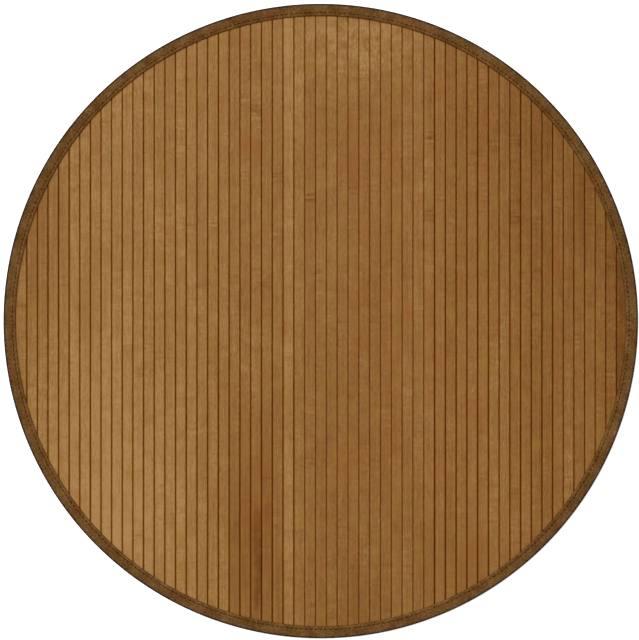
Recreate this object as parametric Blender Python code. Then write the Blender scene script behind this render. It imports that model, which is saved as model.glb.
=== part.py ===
"""A round rug of bamboo slats, lying flat.

Fifty-seven slats lie side by side along Y on a ground cloth, cut together to a circle.
A woven tape is folded over the rim, above and below, and holds their ends.
The rug rests on the tape's underside at Z = 0, with its middle on the Z axis.
"""
import math

import bmesh
import bpy

# Driving sizes, in metres
RUG_RADIUS = 0.500
TAPE_WIDTH = 0.0197
TAPE_THICK = 0.0010
CLOTH_THICK = 0.0010
SLAT_THICK = 0.0038
FIT = 0.0003

# The slats, counted from the left
SLAT_COUNT = 57
SLAT_PITCH = 0.01688
SLAT_GAP = 0.0005
ARRIS_RADIUS = 0.0011
CROWN = 0.00015

# The slats are not all one width: their gaps drift slowly to and fro across the rug
LAY_SHIFT = 0.0009
DRIFT = 0.0017
DRIFT_RATE = 0.109
DRIFT_LAG = 0.3175

# The folded tape: a stitch line, a ridge inside it and a fuller swell outside it
STITCH_INSET = 0.0055
RIDGE_SWELL = 0.00025
BODY_SWELL = 0.00050
FOLD_RADIUS = 0.0022
FOLD_STEPS = 3
BODY_STEPS = 4
RING_STEPS = 120

# Outer slats meet the rim in an arc of this many chords
RIM_STEPS = 5
ARRIS_STEPS = 2

# Levels, stacked up from the floor with a fit between pieces that touch
CLOTH_BASE = TAPE_THICK + FIT
SLAT_BASE = CLOTH_BASE + CLOTH_THICK + FIT
SLAT_TOP = SLAT_BASE + SLAT_THICK
TAPE_TOP = SLAT_TOP + FIT + TAPE_THICK

# Radii, measured from the rug's middle
TAPE_INNER = RUG_RADIUS - TAPE_WIDTH
STITCH_RADIUS = TAPE_INNER + STITCH_INSET
FOLD_START = RUG_RADIUS - FOLD_RADIUS
CUT_RADIUS = FOLD_START * math.cos(math.pi / RING_STEPS)

# Colours are linear red, green and blue
BAMBOO_COLOUR = (0.35, 0.18, 0.066)
BAMBOO_ROUGHNESS = 0.5
TAPE_COLOUR = (0.135, 0.065, 0.020)
TAPE_ROUGHNESS = 0.9
CLOTH_COLOUR = (0.070, 0.030, 0.008)
CLOTH_ROUGHNESS = 0.95
SHADE_SPREAD = 0.10
SHADE_STRIDE = 2.4


def clear_scene():
    for item in list(bpy.data.objects):
        bpy.data.objects.remove(item, do_unlink=True)


def new_material(name, colour, roughness):
    material = bpy.data.materials.new(name)
    material.use_nodes = True
    shader = material.node_tree.nodes["Principled BSDF"]
    shader.inputs["Base Color"].default_value = (*colour, 1.0)
    shader.inputs["Roughness"].default_value = roughness
    shader.inputs["Metallic"].default_value = 0.0
    return material


def new_object(name, bm, material):
    """Turn a closed bmesh into a named object with its faces pointing out."""
    bmesh.ops.recalc_face_normals(bm, faces=bm.faces)
    mesh = bpy.data.meshes.new(name)
    bm.to_mesh(mesh)
    bm.free()
    mesh.materials.append(material)
    item = bpy.data.objects.new(name, mesh)
    bpy.context.scene.collection.objects.link(item)
    return item


def shade_round(item, degrees=35.0):
    item.data.shade_smooth()
    item.data.set_sharp_from_angle(angle=math.radians(degrees))


# Slats

def gap_middle(number):
    """X of the middle of the gap to the right of the slat with this number."""
    step = number - SLAT_COUNT / 2.0
    return LAY_SHIFT + SLAT_PITCH * step + DRIFT * math.sin(DRIFT_RATE * step - DRIFT_LAG)


def arris_lines(side, inward):
    """Places and heights across a rounded arris, from the slat's side to its full height."""
    lines = []
    for step in range(ARRIS_STEPS + 1):
        turn = math.radians(90.0) * step / ARRIS_STEPS
        across = ARRIS_RADIUS * (1.0 - math.cos(turn))
        below = ARRIS_RADIUS * (1.0 - math.sin(turn)) + CROWN
        lines.append((side + inward * across, SLAT_TOP - below))
    return lines


def rim_lines(side, outward):
    """Places from a slat's visible side out to the rim, where the circle cuts it short."""
    first = math.acos(abs(side) / CUT_RADIUS)
    lines = []
    for step in range(1, RIM_STEPS):
        turn = first * (1.0 - step / RIM_STEPS)
        lines.append((outward * CUT_RADIUS * math.cos(turn), SLAT_TOP - CROWN))
    return lines


def slat_lines(number):
    """Lines along Y that shape a slat: the X of each one and the height of its top."""
    left = gap_middle(number - 1) + SLAT_GAP / 2.0
    right = gap_middle(number) - SLAT_GAP / 2.0
    if number == 1:
        return sorted(rim_lines(right, -1.0) + arris_lines(right, -1.0))
    if number == SLAT_COUNT:
        return sorted(arris_lines(left, 1.0) + rim_lines(left, 1.0))
    middle = [((left + right) / 2.0, SLAT_TOP)]
    return sorted(arris_lines(left, 1.0) + middle + arris_lines(right, -1.0))


def build_slat(number):
    """One slat, with a level underside and both ends on the cutting circle."""
    bm = bmesh.new()
    sections = []
    for x, top in slat_lines(number):
        reach = math.sqrt(CUT_RADIUS ** 2 - x ** 2)
        corners = ((-reach, SLAT_BASE), (reach, SLAT_BASE), (reach, top), (-reach, top))
        sections.append([bm.verts.new((x, y, z)) for y, z in corners])
    for one, other in zip(sections, sections[1:]):
        for corner in range(4):
            after = (corner + 1) % 4
            bm.faces.new((one[corner], one[after], other[after], other[corner]))
    bm.faces.new(sections[0])
    bm.faces.new(sections[-1])
    shade = 1.0 + SHADE_SPREAD * math.sin(SHADE_STRIDE * number)
    colour = [channel * shade for channel in BAMBOO_COLOUR]
    name = f"slat_{number:02d}"
    return new_object(name, bm, new_material(name, colour, BAMBOO_ROUGHNESS))


# Ground cloth under the slats

def build_backing():
    bm = bmesh.new()
    bmesh.ops.create_circle(bm, cap_ends=True, radius=CUT_RADIUS, segments=RING_STEPS)
    raised = bmesh.ops.extrude_face_region(bm, geom=bm.faces[:])
    lifted = [item for item in raised["geom"] if isinstance(item, bmesh.types.BMVert)]
    bmesh.ops.translate(bm, verts=lifted, vec=(0.0, 0.0, CLOTH_THICK))
    bmesh.ops.translate(bm, verts=bm.verts, vec=(0.0, 0.0, CLOTH_BASE))
    return new_object("backing", bm, new_material("backing", CLOTH_COLOUR, CLOTH_ROUGHNESS))


# Binding tape, folded over the rim

def swell(radius):
    """How far the tape's upper leg stands above its stitch line."""
    if radius < STITCH_RADIUS:
        share = (radius - TAPE_INNER) / (STITCH_RADIUS - TAPE_INNER)
        return RIDGE_SWELL * math.sin(math.pi * share)
    share = min((radius - STITCH_RADIUS) / (FOLD_START - STITCH_RADIUS), 1.0)
    return BODY_SWELL * math.sin(math.pi * share)


def upper_leg(height):
    """Points along one face of the upper leg, from its inner edge to the fold."""
    radii = [TAPE_INNER, (TAPE_INNER + STITCH_RADIUS) / 2.0]
    for step in range(BODY_STEPS):
        radii.append(STITCH_RADIUS + (FOLD_START - STITCH_RADIUS) * step / BODY_STEPS)
    return [(radius, height + swell(radius)) for radius in radii]


def fold(corner_radius, steps):
    """Points round the rim: over the upper corner, down, and round the lower corner."""
    points = []
    for step in range(steps + 1):
        turn = math.radians(90.0) * (1.0 - step / steps)
        out = FOLD_START + corner_radius * math.cos(turn)
        rise = corner_radius * math.sin(turn)
        points.append((out, TAPE_TOP - FOLD_RADIUS + rise))
    return points + [(out, TAPE_TOP - height) for out, height in reversed(points)]


def binding_profile():
    outside = upper_leg(TAPE_TOP) + fold(FOLD_RADIUS, FOLD_STEPS)
    outside.append((TAPE_INNER, 0.0))
    inside = upper_leg(TAPE_TOP - TAPE_THICK) + fold(FOLD_RADIUS - TAPE_THICK, FOLD_STEPS - 1)
    inside.append((TAPE_INNER, TAPE_THICK))
    return outside + inside[::-1]


def build_binding():
    """Turn the tape's section once round the rug."""
    bm = bmesh.new()
    profile = binding_profile()
    sections = []
    for step in range(RING_STEPS):
        turn = 2.0 * math.pi * step / RING_STEPS
        along, across = math.cos(turn), math.sin(turn)
        sections.append([bm.verts.new((r * along, r * across, z)) for r, z in profile])
    for step, one in enumerate(sections):
        other = sections[(step + 1) % RING_STEPS]
        for point in range(len(profile)):
            after = (point + 1) % len(profile)
            bm.faces.new((one[point], one[after], other[after], other[point]))
    material = new_material("binding", TAPE_COLOUR, TAPE_ROUGHNESS)
    shade_round(new_object("binding", bm, material))


def main():
    clear_scene()
    build_backing()
    for number in range(1, SLAT_COUNT + 1):
        build_slat(number)
    build_binding()


main()
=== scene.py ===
"""The looks of a round bamboo rug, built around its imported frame.

Lengths are in metres, +Y runs along the slats and +Z is up, as in the frame.
Every piece rides on the one body, "root".
"""
import collections
import math
import random

import bpy
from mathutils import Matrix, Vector, noise


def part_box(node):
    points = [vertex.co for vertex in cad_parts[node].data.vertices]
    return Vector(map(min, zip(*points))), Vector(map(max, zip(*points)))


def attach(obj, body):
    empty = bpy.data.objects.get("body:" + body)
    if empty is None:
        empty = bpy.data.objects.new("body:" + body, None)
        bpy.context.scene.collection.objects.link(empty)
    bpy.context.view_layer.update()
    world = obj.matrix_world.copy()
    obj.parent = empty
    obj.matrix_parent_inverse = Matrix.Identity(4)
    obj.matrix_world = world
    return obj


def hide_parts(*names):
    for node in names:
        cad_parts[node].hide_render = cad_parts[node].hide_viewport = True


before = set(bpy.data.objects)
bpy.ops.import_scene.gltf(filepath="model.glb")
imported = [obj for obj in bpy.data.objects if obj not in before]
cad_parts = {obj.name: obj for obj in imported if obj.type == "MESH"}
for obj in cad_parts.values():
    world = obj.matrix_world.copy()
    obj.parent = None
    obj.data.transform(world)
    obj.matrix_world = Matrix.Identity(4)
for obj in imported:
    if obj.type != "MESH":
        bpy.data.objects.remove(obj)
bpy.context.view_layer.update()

# The photograph: its frame, and where the rug's middle and rim lie in it, in pixels
PHOTO_WIDTH = 639
PHOTO_HEIGHT = 640
RUG_MIDDLE_X = 320.73
RUG_MIDDLE_Y = 321.02
RUG_RADIUS_PIXELS = 317.36

# Sizes that the solids share
SLAT_COUNT = 57
TAPE_WIDTH = 0.0197
TAPE_THICK = 0.0010
STITCH_INSET = 0.0055
FOLD_RADIUS = 0.0022
FIT = 0.0003
RUG_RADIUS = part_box("binding")[1].x
CUT_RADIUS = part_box("backing")[1].x
TAPE_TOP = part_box("slat_29")[1].z + FIT + TAPE_THICK
TAPE_INNER = RUG_RADIUS - TAPE_WIDTH
STITCH_RADIUS = TAPE_INNER + STITCH_INSET
FOLD_START = RUG_RADIUS - FOLD_RADIUS

SEED = 11

# What the light does to a level surface: its gain, and the pale veil that its gloss adds
LIGHT_GAIN = 1.14
GLOSS_TINT = (1.0, 0.82, 0.55)
BAMBOO_VEIL = (0.0219, 0.0180, 0.0120)
TAPE_VEIL = (0.0146, 0.0130, 0.0106)


def linear(red, green, blue):
    """A linear colour from the 0 to 255 values that a picture shows."""
    shown = [value / 255.0 for value in (red, green, blue)]
    return tuple(v / 12.92 if v <= 0.04045 else ((v + 0.055) / 1.055) ** 2.4 for v in shown)


def under_light(veil, red, green, blue):
    """The colour of a surface that the studio light shows as these 0 to 255 values."""
    shown = linear(red, green, blue)
    return tuple(max(v - extra, 0.0008) / LIGHT_GAIN for v, extra in zip(shown, veil))


def bamboo_colour(red, green, blue):
    return under_light(BAMBOO_VEIL, red, green, blue)


def tape_colour(red, green, blue):
    return under_light(TAPE_VEIL, red, green, blue)


def bell(distance, half_width):
    """1 at no distance, falling smoothly to nothing a little past the half width."""
    return math.exp(-(distance / half_width) ** 2)


def wander(x, y=0.0, z=0.0):
    """Smooth noise from -1 to 1, one bump to a unit."""
    return noise.noise((x, y, z))


# Meshes

def add_piece(name, points, faces, material, sharp=40.0, replaces=()):
    """A mesh that rides on the rug, takes its finish from a slot and may stand for nodes."""
    mesh = bpy.data.meshes.new(name)
    mesh.from_pydata(points, [], faces)
    mesh.update()
    mesh.shade_smooth()
    mesh.set_sharp_from_angle(angle=math.radians(sharp))
    mesh.materials.append(material)
    piece = bpy.data.objects.new(name, mesh)
    bpy.context.scene.collection.objects.link(piece)
    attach(piece, "root")
    if replaces:
        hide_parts(*replaces)
    return piece


def add_values(piece, name, values):
    """A number for each point of a mesh, which its material reads by name."""
    layer = piece.data.attributes.new(name=name, type="FLOAT", domain="POINT")
    layer.data.foreach_set("value", values)


def loft(loops, closed=False):
    """Faces that join each loop of points to the next one, numbered in order."""
    size = len(loops[0])
    faces = []
    for row in range(len(loops) if closed else len(loops) - 1):
        here = row * size
        there = ((row + 1) % len(loops)) * size
        for step in range(size):
            after = (step + 1) % size
            faces.append((here + step, here + after, there + after, there + step))
    return faces


def end_caps(loops):
    """The two faces that close a loft at its first and its last loop."""
    return [tuple(loops[0]), tuple(reversed(loops[-1]))]


# Materials

def add_node(tree, kind, inputs=None, **settings):
    """A node with its settings made and its inputs set to values or linked to sockets."""
    made = tree.nodes.new(kind)
    for key, value in settings.items():
        setattr(made, key, value)
    for key, value in (inputs or {}).items():
        if isinstance(value, bpy.types.NodeSocket):
            tree.links.new(value, made.inputs[key])
        else:
            made.inputs[key].default_value = value
    return made


def calc(tree, operation, first, second=0.0, third=0.0, clamp=False):
    inputs = {0: first, 1: second, 2: third}
    return add_node(tree, "ShaderNodeMath", inputs, operation=operation, use_clamp=clamp).outputs[0]


def fit_range(tree, value, low, high, to_low=0.0, to_high=1.0, smooth=True):
    """A value spread from one range to another and held inside it."""
    inputs = {"Value": value, 1: low, 2: high, 3: to_low, 4: to_high}
    kind = "SMOOTHSTEP" if smooth else "LINEAR"
    return add_node(tree, "ShaderNodeMapRange", inputs, interpolation_type=kind).outputs[0]


def attribute(tree, name):
    return add_node(tree, "ShaderNodeAttribute", attribute_name=name).outputs["Fac"]


def stretched_noise(tree, place, scale, seed=0.0, detail=3.0, rough=0.55):
    """Noise with its own number of bumps to a metre along each axis."""
    moved = add_node(tree, "ShaderNodeVectorMath", {0: place, 1: scale}, operation="MULTIPLY")
    inputs = {"Vector": moved.outputs[0], "W": seed, "Scale": 1.0, "Detail": detail, "Roughness": rough}
    return add_node(tree, "ShaderNodeTexNoise", inputs, noise_dimensions="4D").outputs[0]


def ramp(tree, value, stops):
    """A colour picked along named stops of (position, linear colour)."""
    made = add_node(tree, "ShaderNodeValToRGB", {"Fac": value})
    elements = made.color_ramp.elements
    while len(elements) < len(stops):
        elements.new(0.5)
    for element, (position, colour) in zip(elements, stops):
        element.position = position
        element.color = (*colour, 1.0)
    return made.outputs["Color"]


def mix_colour(tree, share, first, second, blend="MIX"):
    made = add_node(tree, "ShaderNodeMix", data_type="RGBA", blend_type=blend)
    for index, value in ((0, share), (6, first), (7, second)):
        if isinstance(value, bpy.types.NodeSocket):
            tree.links.new(value, made.inputs[index])
        else:
            made.inputs[index].default_value = value if index == 0 else (*value, 1.0)
    return made.outputs[2]


def new_material(name):
    """An empty material: its tree and its shader."""
    material = bpy.data.materials.new(name)
    material.use_nodes = True
    tree = material.node_tree
    return material, tree, tree.nodes["Principled BSDF"]


def object_place(tree):
    return add_node(tree, "ShaderNodeTexCoord").outputs["Object"]


# Bamboo

BAMBOO_STOPS = (
    (0.00, bamboo_colour(113, 70, 27)),
    (0.30, bamboo_colour(132, 88, 43)),
    (0.55, bamboo_colour(147, 103, 55)),
    (0.78, bamboo_colour(160, 118, 69)),
    (1.00, bamboo_colour(174, 133, 83)),
)
BAMBOO_REDDISH = bamboo_colour(152, 92, 44)
BAMBOO_OLIVE = bamboo_colour(150, 112, 50)
# A multiplying tint for the painted shade along the gaps between slats
GAP_SHADE_TINT = (0.78, 0.50, 0.02)
BAMBOO_CHIP = bamboo_colour(205, 175, 130)
# A multiplying tint for the painted shadow of the tape on the slats beside it
TAPE_SHADOW_TINT = (0.40, 0.28, 0.10)

# The side of the rug, counted from +X, where the painted shadow along the tape's inner edge is darkest
LIP_TURN = math.radians(105.0)


def flat_distance(tree, place):
    """How far a place is from the rug's middle, seen from above."""
    flat = add_node(tree, "ShaderNodeVectorMath", {0: place, 1: (1.0, 1.0, 0.0)}, operation="MULTIPLY")
    inputs = {0: flat.outputs[0]}
    return add_node(tree, "ShaderNodeVectorMath", inputs, operation="LENGTH").outputs["Value"]


def shadow_beside_tape(tree, place):
    """Painted shadow of the tape's inner edge on the slats just inside it, strongest on the side
    towards the lamp.
    """
    near = fit_range(tree, flat_distance(tree, place), TAPE_INNER - 0.0014, TAPE_INNER - 0.0002)
    inputs = {0: place, 1: (math.cos(LIP_TURN), math.sin(LIP_TURN), 0.0)}
    facing = add_node(tree, "ShaderNodeVectorMath", inputs, operation="DOT_PRODUCT").outputs["Value"]
    return calc(tree, "MULTIPLY", near, fit_range(tree, facing, -0.30, 0.40, 0.0, 0.9))


def pale_chips(tree, place):
    """Small pale chips, a few to the rug."""
    cells = add_node(tree, "ShaderNodeTexVoronoi", {"Vector": place, "Scale": 46.0})
    draw = add_node(tree, "ShaderNodeSeparateColor", {0: cells.outputs["Color"]}).outputs[0]
    chosen = calc(tree, "GREATER_THAN", draw, 0.93)
    return calc(tree, "MULTIPLY", chosen, fit_range(tree, cells.outputs["Distance"], 0.055, 0.025))


def add_strengths(tree, tone, parts):
    """A tone with each noise added at its strength, about the noise's middle."""
    for value, strength in parts:
        shift = calc(tree, "MULTIPLY_ADD", value, strength, -0.5 * strength)
        tone = calc(tree, "ADD", tone, shift)
    return tone


def bamboo_material():
    """Split bamboo: long fibres, soft clouds of stain, and rippled marks at the culm's nodes."""
    material, tree, shader = new_material("stained_bamboo")
    place = object_place(tree)
    seed = attribute(tree, "seed")

    fibres = stretched_noise(tree, place, (800.0, 6.0, 60.0), seed, 3.0, 0.6)
    threads = stretched_noise(tree, place, (2600.0, 34.0, 300.0), seed, 2.0, 0.5)
    flecks = stretched_noise(tree, place, (900.0, 150.0, 100.0), seed, 3.0, 0.6)
    bands = stretched_noise(tree, place, (24.0, 62.0, 10.0), seed, 4.0, 0.6)
    clouds = stretched_noise(tree, place, (40.0, 11.0, 10.0), seed, 2.0, 0.5)
    curls = stretched_noise(tree, place, (34.0, 300.0, 10.0), seed, 2.0, 0.5)
    pores = stretched_noise(tree, place, (1900.0, 150.0, 300.0), seed, 1.0, 0.5)

    # Tone: what the slat brings, and what its grain adds
    parts = ((fibres, 0.66), (threads, 0.30), (flecks, 1.12), (bands, 0.38), (clouds, 0.34))
    tone = add_strengths(tree, attribute(tree, "tone"), parts)
    curled = calc(tree, "MULTIPLY", fit_range(tree, clouds, 0.50, 0.66), 0.75)
    tone = calc(tree, "MULTIPLY_ADD", calc(tree, "SUBTRACT", curls, 0.5), curled, tone)
    pore_marks = fit_range(tree, pores, 0.62, 0.74)
    tone = calc(tree, "MULTIPLY_ADD", pore_marks, -0.10, tone)

    # Culm nodes: a dark band broken up by fine ripples across the slat
    ripple_noise = stretched_noise(tree, place, (30.0, 210.0, 10.0), seed, 2.0, 0.6)
    ripples = fit_range(tree, ripple_noise, 0.35, 0.65, -0.45, 1.0)
    band = calc(tree, "MULTIPLY", attribute(tree, "knot"), ripples)
    tone = calc(tree, "MULTIPLY_ADD", band, -0.50, tone)

    # Stains, blotched where the grain took them up
    small = fit_range(tree, flecks, 0.25, 0.70, 0.3, 1.5)
    large = fit_range(tree, bands, 0.3, 0.65, 0.35, 1.4)
    stain = calc(tree, "MULTIPLY", attribute(tree, "stain"), calc(tree, "MULTIPLY", small, large))
    tone = calc(tree, "MULTIPLY_ADD", stain, -1.0, tone)

    # Hue: reddish and olive clouds, a pale chip here and there, painted shade along the gaps between
    # slats and painted shadow beside the tape
    colour = ramp(tree, tone, BAMBOO_STOPS)
    hue = stretched_noise(tree, place, (26.0, 24.0, 10.0), calc(tree, "ADD", seed, 5.0), 3.0, 0.55)
    red = calc(tree, "ADD", attribute(tree, "redness"), fit_range(tree, hue, 0.50, 0.78, 0.0, 0.45))
    red = calc(tree, "MULTIPLY", red, fit_range(tree, flecks, 0.3, 0.6, 0.6, 1.2), clamp=True)
    colour = mix_colour(tree, red, colour, BAMBOO_REDDISH)
    colour = mix_colour(tree, fit_range(tree, hue, 0.50, 0.24, 0.0, 0.62), colour, BAMBOO_OLIVE)
    colour = mix_colour(tree, calc(tree, "MULTIPLY", pale_chips(tree, place), 0.6), colour, BAMBOO_CHIP)
    # Painted shade along the gaps between slats, uneven along them
    uneven = fit_range(tree, bands, 0.3, 0.7, 1.25, 0.75)
    gap_shading = calc(tree, "MULTIPLY", attribute(tree, "edge"), uneven, clamp=True)
    colour = mix_colour(tree, gap_shading, colour, GAP_SHADE_TINT, "MULTIPLY")
    # Painted shadow of the tape's inner edge on the slats
    colour = mix_colour(tree, shadow_beside_tape(tree, place), colour, TAPE_SHADOW_TINT, "MULTIPLY")
    tree.links.new(colour, shader.inputs["Base Color"])

    roughness = fit_range(tree, fibres, 0.3, 0.7, 0.60, 0.46)
    tree.links.new(roughness, shader.inputs["Roughness"])
    shader.inputs["Specular IOR Level"].default_value = 0.22
    shader.inputs["Specular Tint"].default_value = (*GLOSS_TINT, 1.0)

    height = calc(tree, "MULTIPLY_ADD", threads, 0.5, fibres)
    height = calc(tree, "MULTIPLY_ADD", pore_marks, -0.5, height)
    bump = add_node(tree, "ShaderNodeBump", {"Height": height, "Strength": 0.35, "Distance": 0.0002})
    tree.links.new(bump.outputs[0], shader.inputs["Normal"])
    return material


# Slats: how light each run of neighbours is, from 0 for dark to 1 for pale
Run = collections.namedtuple("Run", "first last tone")
TONE_RUNS = (
    Run(1, 3, 0.60),
    Run(4, 5, 0.70),
    Run(6, 11, 0.82),
    Run(12, 17, 0.74),
    Run(18, 20, 0.68),
    Run(21, 24, 0.57),
    Run(25, 25, 0.61),
    Run(26, 26, 0.76),
    Run(27, 27, 0.65),
    Run(28, 30, 0.54),
    Run(31, 35, 0.51),
    Run(36, 40, 0.58),
    Run(41, 42, 0.50),
    Run(43, 46, 0.54),
    Run(47, 48, 0.45),
    Run(49, 50, 0.37),
    Run(51, 54, 0.44),
    Run(55, 55, 0.34),
    Run(56, 56, 0.24),
    Run(57, 57, -0.10),
)

# The gaps by runs: how much each side stands back, and how dark the painted shade along
# the sides is in the rug's upper and lower half
Gap = collections.namedtuple("Gap", "first last open above below")
GAP_RUNS = (
    Gap(0, 26, 0.00001, 0.95, 1.75),
    Gap(27, 38, -0.00010, 0.75, 0.65),
    Gap(39, 44, 0.00002, 1.00, 1.90),
    Gap(45, 50, -0.00002, 0.90, 1.70),
    Gap(51, 57, -0.00005, 0.80, 1.15),
)
# Gaps whose painted shade is darker, and gaps whose painted shade is lighter
DARK_GAPS = (5, 7, 16, 19, 39, 43, 47)
PALE_GAPS = (2, 9, 11, 22, 31, 45, 51, 54)

# Marks on the slats: places, half sizes, and how much darker and redder they are
Mark = collections.namedtuple("Mark", "x y across along dark red")
MARKS = (
    Mark(-0.1000, -0.335, 0.0050, 0.045, 0.72, 0.10),
    Mark(-0.0970, -0.385, 0.0036, 0.040, 0.80, 0.05),
    Mark(-0.1000, -0.435, 0.0050, 0.030, 0.40, 0.05),
    Mark(-0.1040, -0.370, 0.0055, 0.090, 0.25, 0.05),
    Mark(-0.0960, -0.260, 0.011, 0.070, 0.12, 0.28),
    Mark(-0.1190, -0.330, 0.008, 0.120, 0.20, 0.10),
    Mark(-0.0850, -0.330, 0.008, 0.110, 0.20, 0.10),
    Mark(-0.1360, -0.340, 0.008, 0.120, 0.14, 0.00),
    Mark(-0.0680, -0.330, 0.008, 0.120, 0.10, 0.00),
    Mark(-0.1200, 0.277, 0.009, 0.018, 0.07, 0.60),
    Mark(-0.1020, 0.272, 0.009, 0.016, 0.08, 0.60),
    Mark(-0.1580, 0.343, 0.014, 0.030, 0.06, 0.25),
    Mark(-0.2500, 0.365, 0.030, 0.030, 0.00, 0.20),
    Mark(0.0360, -0.231, 0.020, 0.035, 0.00, 0.35),
    Mark(-0.0850, 0.360, 0.055, 0.014, -0.08, -0.20),
    Mark(-0.0160, 0.170, 0.010, 0.030, 0.05, 0.15),
    Mark(0.0500, 0.275, 0.009, 0.050, 0.08, 0.20),
    Mark(-0.4300, 0.120, 0.030, 0.100, 0.08, 0.00),
    Mark(-0.2900, -0.320, 0.090, 0.110, -0.07, 0.00),
    Mark(0.3905, -0.200, 0.007, 0.120, -0.17, 0.00),
    Mark(-0.0507, -0.330, 0.006, 0.120, -0.10, 0.00),
    Mark(0.4160, 0.170, 0.016, 0.090, 0.16, 0.00),
    Mark(-0.3870, 0.160, 0.008, 0.100, -0.12, 0.00),
    Mark(0.0500, 0.445, 0.095, 0.060, -0.20, -0.25),
    Mark(0.2400, -0.390, 0.090, 0.075, 0.15, 0.00),
    Mark(-0.2480, -0.400, 0.045, 0.050, 0.16, 0.00),
    Mark(-0.4350, -0.150, 0.030, 0.060, -0.12, 0.00),
    Mark(-0.3650, 0.020, 0.030, 0.060, 0.12, 0.00),
    Mark(-0.2850, 0.365, 0.035, 0.040, -0.12, 0.00),
    Mark(-0.1100, -0.045, 0.030, 0.045, -0.12, 0.00),
    Mark(0.4650, -0.010, 0.030, 0.060, -0.10, 0.00),
    Mark(0.4200, 0.250, 0.030, 0.060, 0.09, 0.00),
    Mark(0.1050, 0.000, 0.065, 0.340, 0.00, 0.17),
    Mark(-0.3200, -0.080, 0.130, 0.330, 0.00, -0.20),
    Mark(0.0550, -0.445, 0.020, 0.030, 0.10, 0.00),
)

# Culm nodes that show plainly, with their strengths
Knot = collections.namedtuple("Knot", "x y strength")
PLAIN_KNOTS = (
    Knot(0.170, 0.289, 0.80),
    Knot(0.170, 0.166, 0.70),
    Knot(0.306, 0.283, 0.60),
    Knot(0.306, 0.163, 0.60),
    Knot(0.238, 0.268, 0.45),
    Knot(-0.017, 0.192, 0.90),
    Knot(-0.118, 0.345, 0.80),
    Knot(-0.102, 0.334, 0.75),
    Knot(-0.070, 0.226, 0.45),
    Knot(-0.168, 0.153, 0.55),
)

# How finely a slat is drawn, and the shape of its top and its sides
ROW_STEP = 0.010
KNOT_ROWS = (-0.015, -0.010, -0.006, -0.0035, -0.0015, 0.0, 0.0015, 0.0035, 0.006, 0.010, 0.015)
ARRIS_RADIUS = 0.0011
ARRIS_STEPS = 5
# How wide the painted shade along each side of a slat is; a line of points lies at its inner end
GAP_SHADE_WIDTH = 0.0020
TOP_COLUMNS = 5
RIM_COLUMNS = 9
CROWN = 0.00015
KNOT_RISE = 0.00016
SIDE_WAVE = 0.00012
TOP_RIPPLE = 0.00004
KNOT_RIDGE_HALF = 0.0028
KNOT_STAIN_HALF = 0.0110
# Where the painted shade along a slat's side starts to fade
GAP_SHADE_START = 0.0003
# A painted highlight along the slat where the painted gap shade ends
EDGE_HIGHLIGHT_TONE = 0.07
DRIFT_TONE = 0.05


def in_run(runs, number):
    return next(run for run in runs if run.first <= number <= run.last)


def gap_looks(number):
    """(how much each side of a gap stands back, its painted shade above and below)."""
    run = in_run(GAP_RUNS, number)
    if number in DARK_GAPS:
        return run.open + 0.00005, run.above + 0.20, run.below + 0.25
    if number in PALE_GAPS:
        return run.open - 0.00002, run.above - 0.15, run.below - 0.20
    return run.open, run.above, run.below


def lengthwise_tone(x, y):
    """Pale below on the left, a little pale above in the middle, and dark above on the right."""
    left = 1.0 / (1.0 + math.exp((x + 0.20) / 0.03))
    right = 1.0 / (1.0 + math.exp((0.19 - x) / 0.03))
    middle = 1.0 - left - right
    return left * (0.30 * y ** 2 - 0.39 * y) + middle * 0.15 * y - right * 0.30 * y


def slat_knots(middle_x, reach, dice):
    """Where a slat's culm nodes lie along it, each with its strength."""
    knots = [(k.y, k.strength) for k in PLAIN_KNOTS if abs(k.x - middle_x) < 0.0085]
    y = -reach + dice.uniform(0.03, 0.30)
    while y < reach - 0.03:
        if all(abs(y - other) > 0.04 for other, strength in knots):
            knots.append((y, dice.choice((0.05, 0.10, 0.20, 0.35))))
        y += dice.uniform(0.24, 0.36)
    return knots


def slat_columns(low, high, number):
    """How far across a slat each line of points lies, and how far its top is rounded off there."""
    turns = [math.radians(90.0) * step / ARRIS_STEPS for step in range(ARRIS_STEPS + 1)]
    arris = [(ARRIS_RADIUS * (1 - math.cos(a)), ARRIS_RADIUS * (1 - math.sin(a))) for a in turns]
    arris.append((GAP_SHADE_WIDTH, 0.0))
    left = [(low + across, drop) for across, drop in arris]
    right = [(high - across, drop) for across, drop in reversed(arris)]
    between = RIM_COLUMNS if number in (1, SLAT_COUNT) else TOP_COLUMNS
    start, end = low + GAP_SHADE_WIDTH, high - GAP_SHADE_WIDTH
    steps = range(1, between + 1)
    middle = [(start + (end - start) * step / (between + 1), 0.0) for step in steps]
    return left + middle + right


def slat_rows(reach, knots):
    """Places along a slat, as shares of its half length, closer together at each culm node."""
    count = 2 * math.ceil(reach / ROW_STEP)
    rows = [-1.0 + 2.0 * step / count for step in range(count + 1)]
    for y, strength in knots:
        rows += [(y + step) / reach for step in KNOT_ROWS if abs(y + step) < reach - 0.002]
    rows.sort()
    kept = [rows[0]]
    for row in rows[1:]:
        if (row - kept[-1]) * reach > 0.0006:
            kept.append(row)
    kept[-1] = 1.0
    return kept


def knot_strength(knots, y, half_width):
    """How strong the nearest culm node is at a place along a slat."""
    return max((bell(y - at, half_width) * strength for at, strength in knots), default=0.0)


def marks_at(x, y):
    """(how much darker, how much redder) the marks make a place."""
    shares = [(mark, bell(x - mark.x, mark.across) * bell(y - mark.y, mark.along)) for mark in MARKS]
    return sum(m.dark * share for m, share in shares), sum(m.red * share for m, share in shares)


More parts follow.
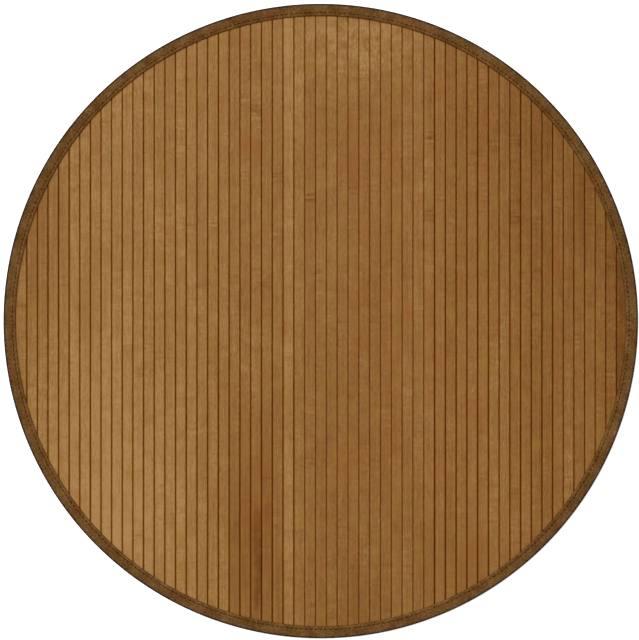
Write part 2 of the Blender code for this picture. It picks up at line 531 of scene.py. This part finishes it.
def build_slat(number, material, dice):
    """A slat with rounded arrises, sides that wave a little, and a low ridge at each culm node."""
    node = f"slat_{number:02d}"
    low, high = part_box(node)
    middle_x = (low.x + high.x) / 2.0
    reach = math.sqrt(CUT_RADIUS ** 2 - middle_x ** 2)
    knots = slat_knots(middle_x, reach, dice)
    columns = slat_columns(low.x, high.x, number)
    seed = dice.uniform(0.0, 40.0)
    base_tone = in_run(TONE_RUNS, number).tone
    left_gap, right_gap = gap_looks(number - 1), gap_looks(number)
    base_red = dice.uniform(-0.06, 0.10)
    points, loops = [], []
    looks = {name: [] for name in ("tone", "stain", "redness", "knot", "edge")}
    for row in slat_rows(reach, knots):
        loop = [(x, high.z - drop) for x, drop in columns]
        loop += [(high.x, low.z), (middle_x, low.z), (low.x, low.z)]
        start = len(points)
        for x, z in loop:
            inside = max(CUT_RADIUS ** 2 - x ** 2, 0.0)
            y = row * math.sqrt(inside)
            share = (x - low.x) / (high.x - low.x)
            open_by, above, below = left_gap if share < 0.5 else right_gap
            wave = wander(y * 9.0, seed + (3.0 if share > 0.5 else 0.0))
            side = (open_by + SIDE_WAVE * (0.5 + 0.5 * wave)) * (1.0 - 2.0 * share)
            if z > low.z:
                near = knot_strength(knots, y, KNOT_RIDGE_HALF)
                ripple = TOP_RIPPLE * wander(x * 150.0, y * 14.0, seed)
                under_tape = math.hypot(x, y) > TAPE_INNER - 0.002
                z -= CROWN * (2.0 * share - 1.0) ** 2
                z += 0.0 if under_tape else KNOT_RISE * near + ripple
            points.append((x + side, y, z))
            from_side = min(x - low.x, high.x - x)
            # Painted highlight on the line of points where the painted gap shade ends
            edge_highlight = EDGE_HIGHLIGHT_TONE if abs(from_side - GAP_SHADE_WIDTH) < 0.0001 else 0.0
            drift = DRIFT_TONE * wander(x * 12.0, y * 5.0, 3.0)
            # Painted shade along each side of the slat, as dark as its gap gives for this half of the
            # rug
            depth = below + (above - below) * min(max(0.5 + 2.0 * y, 0.0), 1.0)
            gap_shading = max(from_side - GAP_SHADE_START, 0.0) / (GAP_SHADE_WIDTH - GAP_SHADE_START)
            dark, red = marks_at(x, y)
            looks["tone"].append(base_tone + edge_highlight + lengthwise_tone(x, y) + drift)
            looks["stain"].append(dark)
            looks["redness"].append(base_red + red)
            looks["knot"].append(knot_strength(knots, y, KNOT_STAIN_HALF))
            looks["edge"].append(depth * max(1.0 - gap_shading, 0.0))
        loops.append(range(start, len(points)))
    faces = loft(loops) + end_caps(loops)
    piece = add_piece("bamboo_" + node, points, faces, material, 50.0, (node,))
    for name, values in looks.items():
        add_values(piece, name, values)
    add_values(piece, "seed", [seed] * len(points))
    return piece


# Cloth: yarns of a plain weave

def plain_weave(tree, along, across, pitch, seed=0.0):
    """(height, yarn tint) of a plain weave on two measures in metres."""
    a = calc(tree, "DIVIDE", along, pitch)
    b = calc(tree, "DIVIDE", across, pitch)
    row, column = calc(tree, "FLOOR", a), calc(tree, "FLOOR", b)
    parity = calc(tree, "PINGPONG", calc(tree, "ADD", row, column), 1.0)
    arch_a = calc(tree, "SINE", calc(tree, "MULTIPLY", calc(tree, "FRACT", a), math.pi))
    arch_b = calc(tree, "SINE", calc(tree, "MULTIPLY", calc(tree, "FRACT", b), math.pi))
    yarns = []
    for round_arch, long_arch in ((arch_b, arch_a), (arch_a, arch_b)):
        over = calc(tree, "MULTIPLY_ADD", long_arch, 0.7, 0.3)
        yarns.append(calc(tree, "MULTIPLY", calc(tree, "POWER", round_arch, 0.5), over))
    height = add_node(tree, "ShaderNodeMix", {0: parity, 2: yarns[0], 3: yarns[1]}).outputs[0]
    slubs = []
    for fixed, running in ((column, a), (row, b)):
        stretched = calc(tree, "MULTIPLY", running, 0.09)
        apart = calc(tree, "MULTIPLY", fixed, 7.31)
        place = add_node(tree, "ShaderNodeCombineXYZ", {0: stretched, 1: apart, 2: seed})
        inputs = {"Vector": place.outputs[0], "Scale": 1.0, "Detail": 2.0}
        slubs.append(add_node(tree, "ShaderNodeTexNoise", inputs).outputs[0])
    tint = add_node(tree, "ShaderNodeMix", {0: parity, 2: slubs[0], 3: slubs[1]}).outputs[0]
    return height, tint


TAPE_STOPS = (
    (0.00, tape_colour(58, 33, 10)),
    (0.50, tape_colour(110, 77, 43)),
    (1.00, tape_colour(156, 118, 76)),
)
TAPE_REDDISH = tape_colour(121, 71, 43)
TAPE_OLIVE = tape_colour(101, 83, 33)

# What tints the tape: a painted highlight along its fold, painted shadow along its lip, and painted
# shade along its stitch line and in its hollows
FOLD_HIGHLIGHT_TINT = (1.00, 1.30, 2.10)
LIP_SHADOW_TINT = (0.80, 0.58, 0.12)
GROOVE_SHADE_TINT = (1.0, 0.90, 0.40)
PAINTED_SHADE_TINT = (0.25, 0.18, 0.02)
YARN_PITCH = 0.0013
CLOTH_YARN_PITCH = 0.0011


def tape_material():
    """Woven cotton tape: yarns along and across it, slubs, and patches that took the dye unevenly."""
    material, tree, shader = new_material("woven_tape")
    height, tint = plain_weave(tree, attribute(tree, "along"), attribute(tree, "across"), YARN_PITCH)
    place = object_place(tree)
    mottle = stretched_noise(tree, place, (280.0, 280.0, 280.0), 2.0, 4.0, 0.7)
    patches = stretched_noise(tree, place, (48.0, 48.0, 48.0), 3.0, 2.0, 0.5)
    fuzz = stretched_noise(tree, place, (1500.0, 1500.0, 1500.0), 5.0, 2.0, 0.6)
    grain = stretched_noise(tree, place, (720.0, 720.0, 720.0), 8.0, 1.0, 0.5)
    tone = calc(tree, "MULTIPLY_ADD", height, 0.22, 0.36)
    parts = ((tint, 0.45), (mottle, 0.75), (patches, 0.75), (grain, 1.55), (fuzz, 0.30))
    tone = add_strengths(tree, tone, parts)
    # Painted shade in the tape's hollows, along its inner edge and round its fold; where negative it
    # paints a highlight
    painted_shade = attribute(tree, "painted_shade")
    tone = calc(tree, "MULTIPLY_ADD", painted_shade, -0.45, tone)
    colour = ramp(tree, tone, TAPE_STOPS)
    hue = stretched_noise(tree, place, (70.0, 70.0, 70.0), 7.0, 3.0, 0.6)
    colour = mix_colour(tree, fit_range(tree, hue, 0.50, 0.72, 0.0, 0.55), colour, TAPE_REDDISH)
    colour = mix_colour(tree, fit_range(tree, hue, 0.50, 0.28, 0.0, 0.55), colour, TAPE_OLIVE)
    # Painted highlight along the fold, painted shadow along the lip, and painted shade in the stitch
    # groove, where the gloss is lowered too
    groove = attribute(tree, "groove")
    tints = (
        (attribute(tree, "fold_highlight"), FOLD_HIGHLIGHT_TINT),
        (painted_shade, PAINTED_SHADE_TINT),
        (attribute(tree, "lip"), LIP_SHADOW_TINT),
        (groove, GROOVE_SHADE_TINT),
    )
    for share, colour_tint in tints:
        colour = mix_colour(tree, share, colour, colour_tint, "MULTIPLY")
    tree.links.new(colour, shader.inputs["Base Color"])
    roughness = fit_range(tree, fuzz, 0.3, 0.7, 0.80, 0.95)
    tree.links.new(roughness, shader.inputs["Roughness"])
    gloss = calc(tree, "MULTIPLY_ADD", groove, -0.12, 0.15)
    tree.links.new(gloss, shader.inputs["Specular IOR Level"])
    shader.inputs["Specular Tint"].default_value = (*GLOSS_TINT, 1.0)
    sheen = calc(tree, "MULTIPLY_ADD", groove, -0.035, 0.04)
    tree.links.new(sheen, shader.inputs["Sheen Weight"])
    shader.inputs["Sheen Tint"].default_value = (*GLOSS_TINT, 1.0)
    shader.inputs["Sheen Roughness"].default_value = 0.5
    relief = calc(tree, "MULTIPLY_ADD", fuzz, 0.25, height)
    bump = add_node(tree, "ShaderNodeBump", {"Height": relief, "Strength": 0.8, "Distance": 0.0003})
    tree.links.new(bump.outputs[0], shader.inputs["Normal"])
    return material


# The tape's shape: how far its face swells and dips, the painted highlight on its ridge, and the
# painted shade on its lip and folds
RIDGE_SWELL = 0.00034
BODY_SWELL = 0.00050
STITCH_DIP = 0.00030
LIP_BACK = 0.0004
# A painted highlight on the raised ridge inside the stitches and just outside them
RIDGE_HIGHLIGHT = -0.10
# How strong the painted shadow along the tape's inner lip is
LIP_SHADE = 1.4
FOLD_STEP = 18.0
# Painted shade down the fold's upper quarter, its side and its lower quarter
UPPER_FOLD_SHADE = (0.38, 0.82, 0.95, 0.90, 0.80, 0.70)
SIDE_SHADE = ((0.0008, 0.45), (0.0017, 0.25))
LOWER_FOLD_SHADE = (0.15, 0.15, 0.20, 0.20, 0.10, 0.00)

# The lower face about its stitches, and its inner edge: (place from there, height, painted shade)
LOWER_FACE = (
    (0.0030, 0.0, 0.0),
    (0.0012, 0.0, 0.0),
    (0.0006, 0.00025, 0.3),
    (0.0, 0.00060, 0.8),
    (-0.0006, 0.00025, 0.3),
    (-0.0012, 0.0, 0.0),
    (-0.0035, 0.0, 0.0),
)
LOWER_EDGE = ((0.0003, 0.0001, 0.0), (0.0, 0.0005, 0.4), (0.0003, TAPE_THICK, 0.6))

STITCH_COUNT = 400
RING_STEPS = 4 * STITCH_COUNT
CREASE_HEIGHT = 0.00012
PUCKER_DEPTH = 0.00016
EDGE_DRIFT = 0.00025


def upper_face():
    """(radius, height, painted shade, negative for a painted highlight) along the tape's upper face,
    from its inner edge to the fold.
    """
    ridge = STITCH_RADIUS - TAPE_INNER
    body = FOLD_START - STITCH_RADIUS
    shape = [(TAPE_INNER + LIP_BACK, -0.00055, 0.2), (TAPE_INNER + 0.00065, -0.00015, 0.0)]
    for share in (0.15, 0.32, 0.5, 0.68, 0.82, 0.92):
        rise = RIDGE_SWELL * math.sin(math.pi * share) ** 0.7 - 0.0001 * share
        shape.append((TAPE_INNER + ridge * share, rise, RIDGE_HIGHLIGHT))
    shape.append((STITCH_RADIUS, -STITCH_DIP, 0.15))
    for share in (0.07, 0.15, 0.27, 0.42, 0.58, 0.74, 0.88):
        # Painted shade close to the fold, and a painted highlight just outside the stitch line
        shading = 0.10 if share > 0.8 else RIDGE_HIGHLIGHT if share < 0.2 else 0.0
        rise = BODY_SWELL * math.sin(math.pi * share) ** 0.7
        shape.append((STITCH_RADIUS + body * share, rise, shading))
    return shape


def fold_points(middle_height, first_turn, shadings, free):
    """Points down one quarter of the fold, with the painted shade on each."""
    points = []
    for step, shading in enumerate(shadings):
        turn = math.radians(first_turn - FOLD_STEP * step)
        out, up = FOLD_RADIUS * math.cos(turn), FOLD_RADIUS * math.sin(turn)
        points.append((FOLD_START + out, middle_height + up, shading, free))
    return points


def tape_profile():
    """The folded tape's section: (radius, height, painted shade, how freely it creases)."""
    profile = [(r, TAPE_TOP + rise, painted_shade, 1.0) for r, rise, painted_shade in upper_face()]
    profile += fold_points(TAPE_TOP - FOLD_RADIUS, 90.0, UPPER_FOLD_SHADE, 0.4)
    for drop, shading in SIDE_SHADE:
        profile.append((RUG_RADIUS, TAPE_TOP - FOLD_RADIUS - drop, shading, 0.0))
    profile += fold_points(FOLD_RADIUS, 0.0, LOWER_FOLD_SHADE, 0.0)
    profile += [(STITCH_RADIUS + shift, rise, painted_shade, 0.0) for shift, rise, painted_shade in LOWER_FACE]
    profile += [(TAPE_INNER + shift, rise, painted_shade, 0.0) for shift, rise, painted_shade in LOWER_EDGE]
    # The fold's hidden inner face, with painted shade
    inner = FOLD_RADIUS - TAPE_THICK
    profile.append((FOLD_START, TAPE_THICK, 0.5, 0.0))
    profile.append((FOLD_START + inner, FOLD_RADIUS, 0.5, 0.0))
    profile.append((FOLD_START + inner, TAPE_TOP - FOLD_RADIUS, 0.5, 0.0))
    profile.append((FOLD_START, TAPE_TOP - TAPE_THICK, 0.5, 0.0))
    profile.append((TAPE_INNER + 0.0003, TAPE_TOP - TAPE_THICK, 0.6, 0.0))
    return profile


def build_binding(material):
    """The tape turned round the rim, puckered by its stitches and a little uneven."""
    profile = tape_profile()
    measures = [0.0]
    for (r0, z0, *rest0), (r1, z1, *rest1) in zip(profile, profile[1:]):
        measures.append(measures[-1] + math.hypot(r1 - r0, z1 - z0))
    points, loops = [], []
    looks = {name: [] for name in ("along", "across", "painted_shade", "lip", "fold_highlight", "groove")}
    for step in range(RING_STEPS):
        turn = 2.0 * math.pi * step / RING_STEPS
        cos, sin = math.cos(turn), math.sin(turn)
        pull = 0.5 + 0.5 * math.cos(turn * STITCH_COUNT)
        crease = wander(cos * 11.0, sin * 11.0) + 0.6 * wander(cos * 34.0, sin * 34.0, 5.0)
        drift = EDGE_DRIFT * wander(cos * 3.0, sin * 3.0, 9.0)
        # Painted shadow along the tape's inner lip, strongest on the side towards the lamp
        shadowed_side = LIP_SHADE * (0.5 + 0.5 * math.cos(turn - LIP_TURN))
        # Painted shade in the dimples where each stitch pulls the tape down
        darkness = (0.60 + 0.25 * wander(cos * 60.0, sin * 60.0, 8.0)) * pull ** 2
        start = len(points)
        for (r, z, painted_shade, free), measure in zip(profile, measures):
            near = bell(r - STITCH_RADIUS, 0.0016)
            rise = free * (CREASE_HEIGHT * crease * (1.0 - near) - PUCKER_DEPTH * pull * near)
            shift = drift if r < STITCH_RADIUS and z > FOLD_RADIUS else 0.0
            points.append(((r + shift) * cos, (r + shift) * sin, z + rise))
            dip = darkness * free * bell(r - STITCH_RADIUS, 0.0009)
            looks["along"].append(turn * STITCH_RADIUS)
            looks["across"].append(measure)
            looks["painted_shade"].append(min(painted_shade + dip, 1.0))
            looks["lip"].append(free * shadowed_side * bell(r - TAPE_INNER - LIP_BACK, 0.0016))
            # Painted highlight along the upper side of the fold
            looks["fold_highlight"].append(min(free * 1.6, 1.0) * bell(r - FOLD_START + 0.0009, 0.0015))
            # Painted shade along the stitch groove, deepest where a stitch pulls
            looks["groove"].append(free * (0.4 + 0.6 * pull) * bell(r - STITCH_RADIUS, 0.0011))
        loops.append(range(start, len(points)))
    faces = loft(loops, closed=True)
    piece = add_piece("tape_binding", points, faces, material, 60.0, ("binding",))
    for name, values in looks.items():
        add_values(piece, name, values)
    return piece


# Sewing thread

THREAD_STOPS = ((0.25, linear(26, 12, 1)), (0.75, linear(68, 39, 8)))


def thread_material():
    """Twisted sewing thread, its colour, roughness and relief varied by fine noise."""
    material, tree, shader = new_material("sewing_thread")
    place = object_place(tree)
    fuzz = stretched_noise(tree, place, (2500.0, 2500.0, 2500.0), 1.0, 2.0, 0.6)
    colour = ramp(tree, fuzz, THREAD_STOPS)
    tree.links.new(colour, shader.inputs["Base Color"])
    tree.links.new(fit_range(tree, fuzz, 0.3, 0.7, 0.55, 0.75), shader.inputs["Roughness"])
    shader.inputs["Specular IOR Level"].default_value = 0.1
    shader.inputs["Specular Tint"].default_value = (*GLOSS_TINT, 1.0)
    bump = add_node(tree, "ShaderNodeBump", {"Height": fuzz, "Strength": 0.5, "Distance": 0.0001})
    tree.links.new(bump.outputs[0], shader.inputs["Normal"])
    return material


THREAD_RADIUS = 0.00048
STITCH_LENGTH = 0.0044
STITCH_RINGS = 9
THREAD_SIDES = 8
UPPER_THREAD_LEVEL = TAPE_TOP - 0.0001
UPPER_THREAD_SINK = 0.0006
LOWER_THREAD_LEVEL = 0.00046
LOWER_THREAD_SINK = 0.0004


def build_stitches(name, level, sink, side, material, dice):
    """One row of stitches: each dips into the tape at both ends, and side is up or down."""
    points, faces = [], []
    for number in range(STITCH_COUNT):
        middle = 2.0 * math.pi * (number + dice.uniform(-0.06, 0.06)) / STITCH_COUNT
        length = STITCH_LENGTH * dice.uniform(0.80, 1.10)
        radius = STITCH_RADIUS + dice.uniform(-0.00012, 0.00012)
        first = len(points)
        for ring in range(STITCH_RINGS):
            share = 2.0 * ring / (STITCH_RINGS - 1) - 1.0
            turn = middle + share * length / 2.0 / radius
            centre = level - side * sink * abs(share) ** 3
            thick = THREAD_RADIUS * (1.0 - 0.25 * share ** 4)
            for corner in range(THREAD_SIDES):
                angle = 2.0 * math.pi * corner / THREAD_SIDES
                ply = thick * (1.0 + 0.16 * math.cos(2.0 * angle + 5.0 * share))
                r = radius + ply * math.cos(angle)
                points.append((r * math.cos(turn), r * math.sin(turn), centre + ply * math.sin(angle)))
        for ring in range(STITCH_RINGS - 1):
            for corner in range(THREAD_SIDES):
                a = first + ring * THREAD_SIDES + corner
                b = first + ring * THREAD_SIDES + (corner + 1) % THREAD_SIDES
                faces.append((a, a + THREAD_SIDES, b + THREAD_SIDES, b))
        faces.append(tuple(range(first, first + THREAD_SIDES)))
        faces.append(tuple(reversed(range(len(points) - THREAD_SIDES, len(points)))))
    return add_piece(name, points, faces, material, 80.0)


# Ground cloth

CLOTH_STOPS = (
    (0.00, linear(58, 30, 8)),
    (0.60, linear(98, 62, 26)),
    (1.00, linear(134, 94, 50)),
)


def cloth_material():
    """The ground cloth's plain weave."""
    material, tree, shader = new_material("ground_cloth")
    place = object_place(tree)
    split = add_node(tree, "ShaderNodeSeparateXYZ", {0: place})
    height, tint = plain_weave(tree, split.outputs[1], split.outputs[0], CLOTH_YARN_PITCH, 4.0)
    mottle = stretched_noise(tree, place, (18.0, 18.0, 18.0), 2.0, 4.0, 0.6)
    tone = calc(tree, "MULTIPLY_ADD", height, 0.35, 0.15)
    tone = add_strengths(tree, tone, ((tint, 0.5), (mottle, 0.3)))
    tree.links.new(ramp(tree, tone, CLOTH_STOPS), shader.inputs["Base Color"])
    tree.links.new(fit_range(tree, tint, 0.3, 0.7, 0.85, 0.97), shader.inputs["Roughness"])
    shader.inputs["Specular IOR Level"].default_value = 0.1
    bump = add_node(tree, "ShaderNodeBump", {"Height": height, "Strength": 0.8, "Distance": 0.0003})
    tree.links.new(bump.outputs[0], shader.inputs["Normal"])
    return material


CLOTH_ROWS = 40
CLOTH_PRESS = 0.00018
CLOTH_WAVE = 0.00012
CLOTH_SHARES = (0.02, 0.25, 0.5, 0.75, 0.98)


def build_backing(material):
    """The ground cloth: a disc that follows the slats above it in very shallow waves."""
    low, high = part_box("backing")
    lines = []
    for number in range(1, SLAT_COUNT + 1):
        slat_low, slat_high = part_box(f"slat_{number:02d}")
        width = slat_high.x - slat_low.x
        lines += [(slat_low.x + width * share, math.sin(math.pi * share)) for share in CLOTH_SHARES]
    lines = [line for line in lines if abs(line[0]) < CUT_RADIUS - 0.0005]
    points, loops = [], []
    for x, press in lines:
        reach = math.sqrt(CUT_RADIUS ** 2 - x ** 2)
        loop = []
        for step in range(CLOTH_ROWS + 1):
            y = reach * (2.0 * step / CLOTH_ROWS - 1.0)
            wave = CLOTH_WAVE * wander(x * 40.0, y * 25.0)
            edge = 1.0 if math.hypot(x, y) < TAPE_INNER - 0.001 else 0.0
            loop.append((x, y, low.z - edge * (CLOTH_PRESS * press + wave)))
        loop += [(x, y, high.z) for x, y, z in reversed(loop)]
        loops.append(range(len(points), len(points) + len(loop)))
        points += loop
    faces = loft(loops) + end_caps(loops)
    return add_piece("cloth_backing", points, faces, material, 60.0, ("backing",))


# Floor, light and camera

FLOOR_SIZE = 40.0
FLOOR_DEPTH = 0.0004
FLOOR_GLOW = 0.55
FLOOR_STOPS = ((0.0, (0.93, 0.93, 0.925)), (1.0, (0.95, 0.95, 0.945)))
CAMERA_HEIGHT = 6.0
RIM_HEIGHT = TAPE_TOP - FOLD_RADIUS
SENSOR_WIDTH = 36.0
AIR_STRENGTH = 0.58
KEY_STRENGTH = 1.92
KEY_SPREAD = 16.0
KEY_PLACE = (-1.1, 1.1, 3.3)


def build_floor():
    """A plain pale floor that glows a little, so that it shows as white paper does."""
    material, tree, shader = new_material("floor_paint")
    grain = stretched_noise(tree, object_place(tree), (3.0, 3.0, 3.0), 0.0, 2.0, 0.5)
    colour = ramp(tree, grain, FLOOR_STOPS)
    tree.links.new(colour, shader.inputs["Base Color"])
    shader.inputs["Roughness"].default_value = 0.9
    shader.inputs["Specular IOR Level"].default_value = 0.0
    shader.inputs["Emission Color"].default_value = (1.0, 1.0, 1.0, 1.0)
    shader.inputs["Emission Strength"].default_value = FLOOR_GLOW
    half = FLOOR_SIZE / 2.0
    mesh = bpy.data.meshes.new("floor")
    corners = ((-half, -half), (half, -half), (half, half), (-half, half))
    mesh.from_pydata([(x, y, -FLOOR_DEPTH) for x, y in corners], [], [(0, 1, 2, 3)])
    mesh.materials.append(material)
    floor = bpy.data.objects.new("floor", mesh)
    bpy.context.scene.collection.objects.link(floor)


def build_light():
    """An even pale surround, and one soft far lamp beyond the rug's upper left."""
    world = bpy.data.worlds.new("studio")
    world.use_nodes = True
    air = world.node_tree.nodes["Background"]
    air.inputs["Color"].default_value = (1.0, 1.0, 1.0, 1.0)
    air.inputs["Strength"].default_value = AIR_STRENGTH
    bpy.context.scene.world = world
    lamp = bpy.data.lights.new("key", "SUN")
    lamp.energy = KEY_STRENGTH
    lamp.angle = math.radians(KEY_SPREAD)
    key = bpy.data.objects.new("key", lamp)
    key.location = KEY_PLACE
    key.rotation_euler = (-Vector(KEY_PLACE)).to_track_quat("-Z", "Y").to_euler()
    bpy.context.scene.collection.objects.link(key)


def build_camera():
    """Straight above, with the rug where the photograph has it."""
    metres_per_pixel = RUG_RADIUS / RUG_RADIUS_PIXELS
    data = bpy.data.cameras.new("camera")
    data.sensor_fit = "HORIZONTAL"
    data.sensor_width = SENSOR_WIDTH
    data.lens = SENSOR_WIDTH * (CAMERA_HEIGHT - RIM_HEIGHT) / (PHOTO_WIDTH * metres_per_pixel)
    data.clip_end = 100.0
    camera = bpy.data.objects.new("camera", data)
    right = (PHOTO_WIDTH / 2.0 - RUG_MIDDLE_X) * metres_per_pixel
    up = (RUG_MIDDLE_Y - PHOTO_HEIGHT / 2.0) * metres_per_pixel
    camera.location = (right, up, CAMERA_HEIGHT)
    bpy.context.scene.collection.objects.link(camera)
    bpy.context.scene.camera = camera
    bpy.context.scene.view_settings.view_transform = "Standard"
    bpy.context.scene.view_settings.look = "None"


def build_rug():
    """Every piece of the rug."""
    dice = random.Random(SEED)
    bamboo = bamboo_material()
    for number in range(1, SLAT_COUNT + 1):
        build_slat(number, bamboo, dice)
    backing = build_backing(cloth_material())
    binding = build_binding(tape_material())
    thread = thread_material()
    upper = build_stitches("stitches_above", UPPER_THREAD_LEVEL, UPPER_THREAD_SINK, 1.0, thread, dice)
    lower = build_stitches("stitches_below", LOWER_THREAD_LEVEL, LOWER_THREAD_SINK, -1.0, thread, dice)


build_camera()
build_light()
build_floor()
build_rug()
